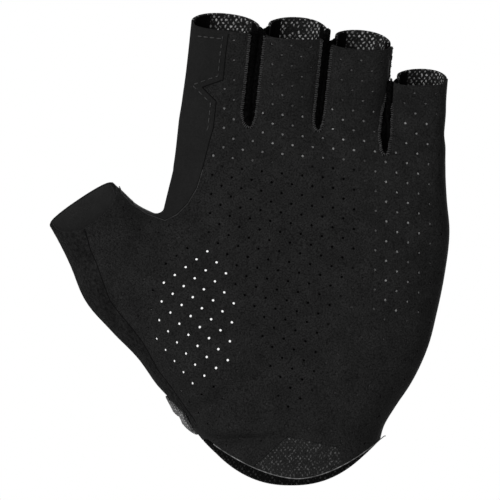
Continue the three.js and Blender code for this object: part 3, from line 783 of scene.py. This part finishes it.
def swept(path, up, radius, sides=6):
    """A closed tube along a path. radius is one value or one for each point."""
    n = len(path)
    first, second = frame_along(path, up)
    angle = 2 * math.pi * np.arange(sides) / sides
    ring = first[:, None] * np.cos(angle)[:, None] + second[:, None] * np.sin(angle)[:, None]
    points = path[:, None] + ring * np.broadcast_to(radius, n)[:, None, None]
    a = np.arange(n - 1)[:, None] * sides + np.arange(sides)
    b = np.arange(n - 1)[:, None] * sides + (np.arange(sides) + 1) % sides
    quads = np.stack([a, b, b + sides, a + sides], -1).reshape(-1, 4)
    faces = np.concatenate([quads[:, [0, 1, 2]], quads[:, [0, 2, 3]]])
    fan = np.arange(1, sides - 1)
    start = np.stack([0 * fan, fan + 1, fan], 1)
    return points.reshape(-1, 3), np.concatenate([faces, start, start[:, ::-1] + (n - 1) * sides])


def joined(meshes):
    points, faces, count = [], [], 0
    for p, f in meshes:
        points.append(p)
        faces.append(f + count)
        count += len(p)
    return np.concatenate(points), np.concatenate(faces)


def overlock(path, up, reach, pitch, thread, uneven):
    """A thread wound round a path."""
    path = np.column_stack([path, up])
    path = resampled(path, pitch / 10)
    path, up = path[:, :3], path[:, 3:]
    first, second = frame_along(path, up)
    step = np.arange(len(path)) / 10
    wave = 1 + uneven * np.sin(step * 1.7) * np.cos(step * 0.63)
    turn = 2 * math.pi * step
    out = first * np.cos(turn)[:, None] + second * np.sin(turn)[:, None]
    return swept(path + out * (reach * wave)[:, None], out, thread, 5)


def stitches(path, up, length, gap, thread):
    """A row of separate stitches that dive into the cloth at their ends."""
    both_columns = resampled(np.column_stack([path, up]), 0.1)
    path, up = both_columns[:, :3], both_columns[:, 3:]
    count, run = int((length + gap) / 0.1), int(length / 0.1)
    parts = []
    for start in range(0, len(path) - run, count):
        part = slice(start, start + run, 2)
        t = np.linspace(-1, 1, len(path[part]))
        lift = (0.4 - 0.7 * t**4)[:, None] * thread
        parts.append(swept(path[part] + up[part] * lift, up[part], thread * (1 - 0.5 * t**6), 6))
    return joined(parts)


def cloth_coords(p):
    """Millimetres round the nearest tube and along it, for the knit's pattern."""
    x, y, z = p.T
    middle = (np.interp(z, HAND_UP, HAND_COLUMNS[:, 0]) + np.interp(z, HAND_UP, HAND_COLUMNS[:, 1])) / 2
    side = x - middle * ROW
    round_side = np.clip(PALM_DEPTH / 2 - np.abs(y), 0, PALM_DEPTH) * (2 * side / ROW) ** 2
    u = side + np.sign(side) * round_side
    up = z - PALM_HEIGHT
    for k, f in enumerate(FINGERS):
        side = x - f["root_x"] - f["slope"] * up
        ahead = np.interp(up, f["up"], f["columns"][:, 0])
        mine = (z > 0.97 * PALM_HEIGHT) & (np.abs(side) < f["width"] / 2 + FINGER_GAP)
        angle = np.arctan2(side, (y + ahead) + 0.1)
        u = np.where(mine, angle * (f["width"] + f["depth"]) / 4 + 40 * k, u)
    return np.column_stack([u, z])


# Materials


WAVE_PERIOD = 0.314  # length of one band of the wave node at scale 1
KNIT_TURN = 38
PATCH_SIZE = 7
RELIEF_DEPTH = 0.4
GREY = (0.5, 0.5, 0.5, 1)


def filled(tree, node, values):
    """Sets a node's inputs to numbers and colours, or links them to the outputs of other nodes."""
    for key, value in values.items():
        if isinstance(value, bpy.types.NodeSocket):
            tree.links.new(value, node.inputs[key])
        else:
            node.inputs[key].default_value = value
    return node


def made(tree, kind, values):
    return filled(tree, tree.nodes.new("ShaderNode" + kind), values)


def spread_out(tree, value, low, high):
    """A value from low to high spread over 0 to 1."""
    return made(tree, "MapRange", {"Value": value, "From Min": low, "From Max": high}).outputs["Result"]


def noise(tree, where, size, low, high, detail=3):
    """Noise of one grain size, spread over 0 to 1 between two of its levels."""
    plain = made(tree, "TexNoise", {"Vector": where, "Scale": 1 / (size * MM), "Detail": detail})
    return spread_out(tree, plain.outputs["Fac"], low, high)


def times(tree, a, b):
    product = made(tree, "Math", {0: a, 1: b})
    product.operation = "MULTIPLY"
    return product.outputs[0]


def mixed(tree, factor, a, b, blend="MIX"):
    mix = tree.nodes.new("ShaderNodeMix")
    mix.data_type = "RGBA"
    mix.blend_type = blend
    a, b = (v if isinstance(v, bpy.types.NodeSocket) else (v, v, v, 1) for v in (a, b))
    return filled(tree, mix, {"Factor": factor, "A": a, "B": b}).outputs["Result"]


def knitted(tree, uv, pitch, distortion):
    """Uneven loops on a diagonal lattice."""
    waves = []
    for turn in (KNIT_TURN, -KNIT_TURN):
        place = made(tree, "Mapping", {"Vector": uv, "Rotation": (0, 0, math.radians(turn))})
        looks = {"Scale": WAVE_PERIOD / pitch, "Distortion": distortion, "Detail Scale": 3}
        waves.append(made(tree, "TexWave", {"Vector": place.outputs["Vector"], **looks}).outputs["Fac"])
    return times(tree, *waves)


def cloth(
    name, shade, grain=0.35, size=0.5, bump=0.25, sheen=0.03, gloss=0.1, patch=0.12, knit=None, painted_light=False
):
    """A matt cloth. shade is its linear grey, grain and patch are how much fine and coarse noise change
    it, and size is that of the fine noise. knit is (pitch, light grey, bump, distortion). tinted multiplies
    the grey by the piece's own U value."""
    mat = bpy.data.materials.new(name)
    mat.use_nodes = True
    tree = mat.node_tree
    coords = tree.nodes.new("ShaderNodeTexCoord")
    where, uv = coords.outputs["Object"], coords.outputs["UV"]
    fine = noise(tree, where, size, 0.3, 0.7)
    colour = mixed(tree, fine, shade * (1 - grain), shade * (1 + grain))
    coarse = noise(tree, where, PATCH_SIZE, 0.3, 0.7, 2)
    colour = mixed(tree, 1.0, colour, mixed(tree, coarse, 1 - patch, 1 + patch), "MULTIPLY")
    height = fine
    if knit:
        pitch, light, bump, distortion = knit
        height = knitted(tree, uv, pitch, distortion)
        uneven = noise(tree, where, 1.4 * pitch, 0.4, 0.6)
        loops = times(tree, spread_out(tree, height, 0.25, 0.85), uneven)
        colour = mixed(tree, loops, colour, light)
    # The U value may hold painted light and shade, as for the sheet below the palm's holes
    if painted_light:
        split = made(tree, "SeparateXYZ", {0: uv})
        colour = mixed(tree, 1.0, colour, split.outputs["X"], "MULTIPLY")
    relief = made(tree, "Bump", {"Height": height, "Strength": bump, "Distance": RELIEF_DEPTH * MM})
    looks = {
        "Base Color": colour,
        "Normal": relief.outputs["Normal"],
        "Roughness": 0.95,
        "Specular IOR Level": gloss,
        "Sheen Weight": sheen,
        "Sheen Roughness": 0.5,
        "Sheen Tint": GREY,
    }
    filled(tree, tree.nodes["Principled BSDF"], looks)
    return mat


SUEDE = cloth("suede", 0.0125, grain=0.68, size=0.5, patch=0.18)
SMOOTH = cloth("smooth_cloth", 0.0118, grain=0.18, size=0.6, bump=0.1, patch=0.08)
TERRY = cloth("terry", 0.009, grain=0.75, size=1, bump=0.9, patch=0.3)
MESH = cloth("mesh_knit", 0.012, knit=(1.35, 0.55, 0.6, 4))
# Nearly black: the gussets' own black cloth, darkened further with painted shade of the deep slots
GUSSET_WITH_PAINTED_SHADE = cloth("gusset_cloth_painted_shade", 0.002, grain=0.9, size=0.7, bump=0.5, sheen=0, gloss=0.02)
# Near black: painted shade inside the fingers' openings, on their thumb side
PAINTED_SHADE_SHEET = cloth("painted_shade_cloth", 0.003, grain=0.4, bump=0.2, sheen=0, gloss=0.05)
INSERT = cloth("insert_knit", 0.014, knit=(1.15, 0.1, 0.6, 5))
CUFF = cloth("cuff_knit", 0.007, knit=(1.3, 0.06, 0.4, 2.5))
HEATHER = cloth("heather", 0.14, grain=0.5, size=0.6, knit=(1.1, 0.8, 0.8, 2.5))
# White scaled by the piece's U value, which holds painted light and shade for the sheet below the holes
PAINTED_BACKING = cloth("painted_backing", 1.0, grain=0.35, size=3.5, bump=0, sheen=0, patch=0.3, painted_light=True)
THREAD = cloth("thread", 0.05, grain=0.6, size=0.5, bump=0.1)
EDGE_THREAD = cloth("edge_thread", 0.055, grain=0.6, size=0.7, bump=0.1)
WEB_THREAD = cloth("web_thread", 0.045, grain=0.5, size=0.7, bump=0.1)
PALE_THREAD = cloth("pale_thread", 0.15, grain=0.6, size=1.2, bump=0.1, patch=0.5)
INNER = cloth("inner_cloth", 0.022, grain=0.12, size=0.6, bump=0.05, patch=0.08)
# Near black: real dark edges and binding, and also the painted shadow along the side and wipe seams
DARK_TRIM_AND_PAINTED_SHADOW = cloth("dark_trim_and_painted_shadow", 0.003, grain=0.4, size=0.4, bump=0.4, sheen=0)


# Pieces

SKIN = skin_mesh()
GLOVE = cut(SKIN, beyond_rims, below_rim)


def add(name, node, material, mesh, coords=None):
    """One piece in place of a CAD node. Small trim shares the node of the panel that it is sewn to."""
    points, faces = mesh
    obj = new_object(name, points, faces, material, coords)
    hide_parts(node)
    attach(obj, "root")
    return obj


def panel(name, node, material, keep, top, bottom):
    """A layer of the glove where every distance in keep is negative."""
    mesh = thickened(cut(GLOVE, *keep), top, bottom)
    return add(name, node, material, mesh, cloth_coords(mesh[0]))


# Layers, measured outwards from the skin
PALM_TOP = 0.35
PALM_BOTTOM = -0.3
TERRY_TOP = 0.1
CUFF_TOP = 0.2
THIN = -0.8
THICK = -1.0
INNER_LAYER_TOP = THICK - 0.05
INNER_LAYER_BOTTOM = THICK - 0.3
TAB_BOTTOM = 0.4
UNDER = 1.0  # how far a lower layer reaches under the palm's edge

outside_slots = [inverse(s) for s in in_slots]
palm_area = [in_front, in_palm, *outside_slots, inverse(in_heel)]
palm = panel("palm_suede", "palm_panel", SUEDE, palm_area, PALM_TOP, PALM_BOTTOM)
side_area = [in_front, grown(in_side, UNDER)]
panel("index_side_cloth", "index_side_panel", SMOOTH, side_area, 0, THIN)
wipe_area = either(both(in_front, grown(in_wipe, UNDER)), both(behind, in_wipe_back))
panel("thumb_wipe_terry", "thumb_wipe_panel", TERRY, [wipe_area], TERRY_TOP, THICK)
panel("heel_insert_knit", "heel_insert", INSERT, [in_front, grown(in_heel, UNDER)], 0, THIN)


def gusset_top(k):
    """The two walls of a slot touch near the side seam, so that no light comes through."""

    def top(p):
        deep = ramp(in_front(p), -9, 4)
        within = ramp(-in_slots[k](p), 0.2, 0.8)
        return SLOTS[k]["close"] * deep * within

    return top


# The gussets and the cores in their slots take the near black colour that holds painted shade
GUSSETS = ("gusset_index_middle", "gusset_middle_ring", "gusset_ring_little")
for k, node in enumerate(GUSSETS):
    area = [in_front, grown(in_slots[k], UNDER)]
    panel(node + "_knit", node, GUSSET_WITH_PAINTED_SHADE, area, gusset_top(k), THIN)
on_back = [behind, inverse(in_wipe_back), inverse(in_keyhole)]
panel("back_knit", "back_panel", MESH, [*on_back, above_cuff], 0, THICK)
cuff_area = [behind, inverse(in_wipe_back), inverse(above_cuff)]
panel("cuff_knit_band", "cuff_band", CUFF, cuff_area, CUFF_TOP, THICK)

# Painted shade inside each finger's opening, on its thumb side: how far down, and from where to where as
# shares of its width
SHADE_SHEET_DEPTH = 14
SHADE_SHEET_LEFT = -0.62
SHADE_SHEET_RIGHT = -0.26


def shade_sheet_area(f):
    """The part inside a finger's opening, on its thumb side, that a near black sheet of painted shade
    covers.
    """

    def distance(p):
        up = p[:, 2] - PALM_HEIGHT
        side = p[:, 0] - f["root_x"] - f["slope"] * up
        sideways = np.maximum(side - SHADE_SHEET_RIGHT * f["width"], SHADE_SHEET_LEFT * f["width"] - side)
        return np.maximum(sideways, f["reach"] - SHADE_SHEET_DEPTH - up)

    return distance


# A near black sheet of painted shade inside each finger's opening
for finger_name, f in zip(("index", "middle", "ring", "little"), FINGERS):
    shade_sheet_mesh = thickened(cut(GLOVE, behind, shade_sheet_area(f)), INNER_LAYER_TOP, INNER_LAYER_BOTTOM, 0)
    add(finger_name + "_painted_shade", "back_panel", PAINTED_SHADE_SHEET, shade_sheet_mesh)

THUMB_LINED_FROM = -0.62 * ROW
inner_patch = cut(GLOVE, lambda p: p[:, 0] - THUMB_LINED_FROM)
inner_mesh = thickened(inner_patch, INNER_LAYER_TOP, INNER_LAYER_BOTTOM, 0)
add("thumb_inner_cloth", "thumb_wipe_panel", INNER, inner_mesh)


def tab_top(p):
    """The tab is thin at its edges and crowned along its middle."""
    return 0.8 + 2 * ramp(-in_tab(p), 0, 3.5) ** 0.7


tab_patch = cut(SKIN, in_tab, lambda p: -1 - p[:, 1])
tab_mesh = thickened(tab_patch, tab_top, TAB_BOTTOM, 0.5)
add("closure_tab_heather", "closure_tab", HEATHER, tab_mesh, cloth_coords(tab_mesh[0]))


# Perforations

HOLE = 0.84  # diameter
HOLE_SIDES = 12
HOLE_MARGIN = 1.6  # of solid suede along the palm's edges
HOLE_FACING = -0.45  # the palm's direction, front to back, beyond which no hole is made
HOLE_CUT = np.array([[-0.9], [1.0]])  # how far a cutter reaches into and out of the skin
# Columns: start, step with i, step with j, and how the steps change with i squared, i times j, j squared
HOLE_LATTICE = [
    (2.71, 3.559, -0.147, 0.0102, 0.0116, -0.0065),
    (68.54, -0.372, -3.283, 0.0073, -0.0057, 0.0025),
]


def hole_places():
    """A centred lattice, slightly fanned as the cloth is stretched over the hand."""
    i, j = (v.ravel() for v in np.meshgrid(np.arange(-18, 14), np.arange(-26, 27), indexing="ij"))
    i, j = i[(i + j) % 2 == 0], j[(i + j) % 2 == 0]
    terms = np.column_stack([np.ones(len(i)), i, j, i**2, i * j, j**2])
    return terms @ np.transpose(HOLE_LATTICE)


def pierced_places():
    """Holes that lie on the palm's panel and don't face aside."""
    points, directions = on_skin(hole_places())
    clear = np.max([beyond_rims(points), below_rim(points)], axis=0) < -HOLE_MARGIN
    for area in palm_area:
        clear &= area(points) < -HOLE_MARGIN
    clear &= (directions[:, 1] < HOLE_FACING) & (np.abs(skin(points)) < 0.3)
    return points[clear], directions[clear]


def pierce(obj, points, directions):
    """Cuts a round hole through the palm at each place."""
    parts = []
    for p, d in zip(points, directions):
        path = p + d * HOLE_CUT
        side = np.cross(d, [0, 0, 1])
        parts.append(swept(path, np.tile(side / np.linalg.norm(side), (2, 1)), HOLE / 2, HOLE_SIDES))
    cutter = new_object("hole_cutter", *joined(parts), THREAD)
    holes = obj.modifiers.new("holes", "BOOLEAN")
    holes.object = cutter
    holes.operation = "DIFFERENCE"
    holes.solver = "MANIFOLD"
    graph = bpy.context.evaluated_depsgraph_get()
    result = bpy.data.meshes.new_from_object(obj.evaluated_get(graph))
    obj.modifiers.clear()
    old = obj.data
    obj.data = result
    bpy.data.meshes.remove(old)
    cutter_mesh = cutter.data
    bpy.data.objects.remove(cutter)
    bpy.data.meshes.remove(cutter_mesh)


HOLES, HOLE_DIRECTIONS = pierced_places()
pierce(palm, HOLES, HOLE_DIRECTIONS)


# A sheet below the holes stands in for the hollow behind them, with painted light and shade: painted light
# where light comes through the knitted back, painted shadow, nearly black, where the hollow is in shadow

IN_SHADOW = [
    (-30, 99), (22, 99), (24, 69), (14, 47), (8, 25), (6, 15), (-3, 15), (-9, 27), (-12, 42),
    (-20, 55), (-30, 76),
]
BLACK = 0.02  # share of the shade that is left in the shadow
NEUTRAL = 0.05
LIGHT = 0.4  # painted light, below the fingers' roots and along the outer side
DIM = 0.2  # dimmer painted light in the fingers
shadow = from_outline(IN_SHADOW)


# Painted light and shade of the sheet below the holes, as a share of white at each point
def painted_light_and_shade(p):
    x, _, z = p.T
    finger_roots = ramp(z, 99, 3) * ramp(x, -38, 3)
    outer_side = ramp(x, 27, 3) * ramp(z, 45, 4)
    light = np.maximum(finger_roots, outer_side) * ramp(-x, -50, 5)
    shade = NEUTRAL + (LIGHT - NEUTRAL) * light
    shade = shade + (DIM - shade) * ramp(z, 116, 4)
    return shade * (BLACK + (1 - BLACK) * ramp(shadow(p), -1.5, 3))


painted_backing_area = [in_front, grown(in_palm, -1), inverse(grown(in_keyhole, 1)), grown(beyond_rims, -2)]
painted_backing_area += [grown(inverse(distance), -0.3) for distance in (*in_slots, in_heel)]
painted_backing_mesh = thickened(cut(GLOVE, *painted_backing_area), PALM_BOTTOM - 0.1, PALM_BOTTOM - 0.5, 0)
painted_shade_coords = np.column_stack([painted_light_and_shade(painted_backing_mesh[0]), np.zeros(len(painted_backing_mesh[0]))])
add("palm_painted_backing", "palm_panel", PAINTED_BACKING, painted_backing_mesh, painted_shade_coords)


# Threads and trim

TRACE = 0.25  # spacing of the points that a trim follows
JUST_ABOVE = 0.05
SLOT_CORE_RADIUS = 1.15
SLOT_CORE_AHEAD = 3.6  # of the side seam
SLOT_CORE_POINTS = 60

for k, node in enumerate(GUSSETS):
    edge = resampled(slot_edge(k), TRACE)
    keep = beyond_rims(on_skin(edge)[0]) < 0
    base, up = on_skin(edge[keep], PALM_TOP + 0.1)
    thread = overlock(base, up, reach=0.42, pitch=0.68, thread=0.16, uneven=0.35)
    add(node + "_overlock", node, EDGE_THREAD, thread)
    add(node + "_edge", node, DARK_TRIM_AND_PAINTED_SHADOW, swept(base, up, 0.34))
    bottom, at, slope = slot_line(k)
    top = PALM_HEIGHT + min(FINGERS[k]["reach"], FINGERS[k + 1]["reach"]) - 1
    height = np.linspace(bottom, top, SLOT_CORE_POINTS)
    core = np.column_stack([at + slope * (height - bottom), split_y(0, height) - SLOT_CORE_AHEAD, height])
    sideways = np.tile([1.0, 0, 0], (SLOT_CORE_POINTS, 1))
    add(node + "_seam", node, GUSSET_WITH_PAINTED_SHADE, swept(core, sideways, SLOT_CORE_RADIUS, 10))


def beside_seam(seam, offset):
    """A seam moved aside in the front view, corners kept."""
    along = unit(np.diff(seam, axis=0))
    before = np.vstack([along[:1], along])
    after = np.vstack([along, along[-1:]])
    mean = unit(before + after)
    stretch = 1 / np.maximum((mean * before).sum(1, keepdims=True), 0.5)
    return seam + np.column_stack([mean[:, 1], -mean[:, 0]]) * offset * stretch


def within_rims(path, margin):
    points = on_skin(path)[0]
    return path[(beyond_rims(points) < -margin) & (below_rim(points) < -margin)]


def cord(name, node, material, rows, outward, radius, sides=6, back=False):
    """A cord laid along rows of the front view."""
    points, up = on_skin(rows, outward, back)
    add(name, node, material, swept(points, up, radius, sides))


def stitch_row(name, rows, length, gap, thread):
    points, up = on_skin(rows, JUST_ABOVE)
    add(name, "index_side_panel", THREAD, stitches(points, up, length, gap, thread))


seam_row = resampled(beside_seam(side_seam, 2.1), TRACE)
seam_row = seam_row[seam_row[:, 1] > 0.97 * PALM_HEIGHT]
stitch_row("side_topstitch", within_rims(seam_row, 1.5), length=1.9, gap=0.9, thread=0.17)

index = FINGERS[0]
HEM_STITCH_BELOW = 5.2  # the index finger's rim
hem_x = np.linspace(index["rim_x"] - 0.4 * index["width"], -0.25 * ROW - 1.5, 60)
hem_z = PALM_HEIGHT + index["reach"] - HEM_STITCH_BELOW - (hem_x - index["rim_x"]) * index["fall"]
stitch_row("index_hem_stitch", np.column_stack([hem_x, hem_z]), length=1.6, gap=0.7, thread=0.24)

web = resampled(side_seam, TRACE)
web = within_rims(web[web[:, 1] < 0.86 * PALM_HEIGHT], 0.4)
cord("web_edge_thread", "palm_panel", WEB_THREAD, web, PALM_TOP + 0.02, 0.13)

# Near black cords beside the side and wipe seams: painted shadow of the palm's edge
for name, node, slot_name, seam in (
    ("side_seam_painted_shadow", "index_side_panel", "side", side_seam),
    ("wipe_seam_painted_shadow", "thumb_wipe_panel", "wipe", wipe_seam),
):
    painted_shadow_line = resampled(beside_seam(seam, 0.25), TRACE)
    painted_shadow_line = within_rims(painted_shadow_line[painted_shadow_line[:, 1] > 0.1 * PALM_HEIGHT], 0.4)
    cord(name, node, DARK_TRIM_AND_PAINTED_SHADOW, painted_shadow_line, 0.12, 0.2)

HEM_CORD_BELOW = 0.3  # the palm's rim
hem_x = np.linspace(-0.93 * WRIST_HALF, 0.97 * WRIST_HALF, 240) + PALM_RIM["middle"]
hem = np.column_stack([hem_x, rim_height(hem_x, PALM_RIM) - HEM_CORD_BELOW])
cord("palm_hem_cord", "palm_panel", PALE_THREAD, hem, 0.25, 0.17, sides=8)

BINDING_WIDER = 2  # than the keyhole, across and along
binding_size = (KEYHOLE_WIDTH + BINDING_WIDER, KEYHOLE_LENGTH + BINDING_WIDER)
binding = oval(KEYHOLE_CENTRE, *binding_size, KEYHOLE_TURN, 160)
binding = np.vstack([binding, binding[:2]])
cord("keyhole_binding", "back_panel", DARK_TRIM_AND_PAINTED_SHADOW, binding, -0.3, 1.1, sides=10, back=True)


# Stage, light and camera

FRAME = 500  # pixels
ORIGIN_PIXEL = (292, 455)  # where the wrist's centre lies in the frame
AIM_DEPTH = -8
DISTANCE = 2600
FLOOR_BELOW = 75
FLOOR_HALF = 1500
AMBIENT = 0.1


def studio_world():
    """White where the camera sees it, and a dimmer light on the glove."""
    world = bpy.data.worlds.new("studio")
    world.use_nodes = True
    tree = world.node_tree
    rays = tree.nodes.new("ShaderNodeLightPath")
    levels = {"Value": rays.outputs["Is Camera Ray"], "To Min": AMBIENT, "To Max": 1.0}
    strength = made(tree, "MapRange", levels).outputs["Result"]
    filled(tree, tree.nodes["Background"], {"Color": (1, 1, 1, 1), "Strength": strength})
    return world


bpy.context.scene.world = studio_world()

aim_x = (FRAME / 2 - ORIGIN_PIXEL[0]) * PIXEL
aim_z = (ORIGIN_PIXEL[1] - FRAME / 2) * PIXEL
aim = Vector((aim_x, AIM_DEPTH, aim_z)) * MM


def aimed(name, data, offset):
    """A camera or light that looks at the glove from an offset in metres."""
    obj = bpy.data.objects.new(name, data)
    bpy.context.scene.collection.objects.link(obj)
    obj.location = aim + Vector(offset)
    obj.rotation_euler = (aim - obj.location).to_track_quat("-Z", "Y").to_euler()
    return obj


def area_light(name, offset, size, energy):
    data = bpy.data.lights.new(name, "AREA")
    data.energy = energy
    data.size = size
    aimed(name, data, offset)


camera_data = bpy.data.cameras.new("camera")
camera_data.lens = camera_data.sensor_width * DISTANCE / (FRAME * PIXEL)
camera_data.clip_start = 0.05
camera_data.clip_end = 20
bpy.context.scene.camera = aimed("camera", camera_data, (0, -DISTANCE * MM, 0))
area_light("key", (-0.7, -0.9, 0.7), size=0.4, energy=9)
area_light("front", (-0.1, -1.4, 0.1), size=0.5, energy=6)
area_light("back", (0.5, 1.4, 0.4), size=0.8, energy=14)

corners = np.array([(-1, -1), (1, -1), (1, 1), (-1, 1)]) * FLOOR_HALF
floor_points = np.column_stack([corners, np.full(4, -FLOOR_BELOW)])
FLOOR = cloth("floor", 0.8, grain=0.02, size=40, bump=0, sheen=0, patch=0.01)
floor = new_object("floor", floor_points, np.array([[0, 1, 2, 3]]), FLOOR)

bpy.context.scene.view_settings.view_transform = "Standard"
bpy.context.scene.view_settings.look = "None"
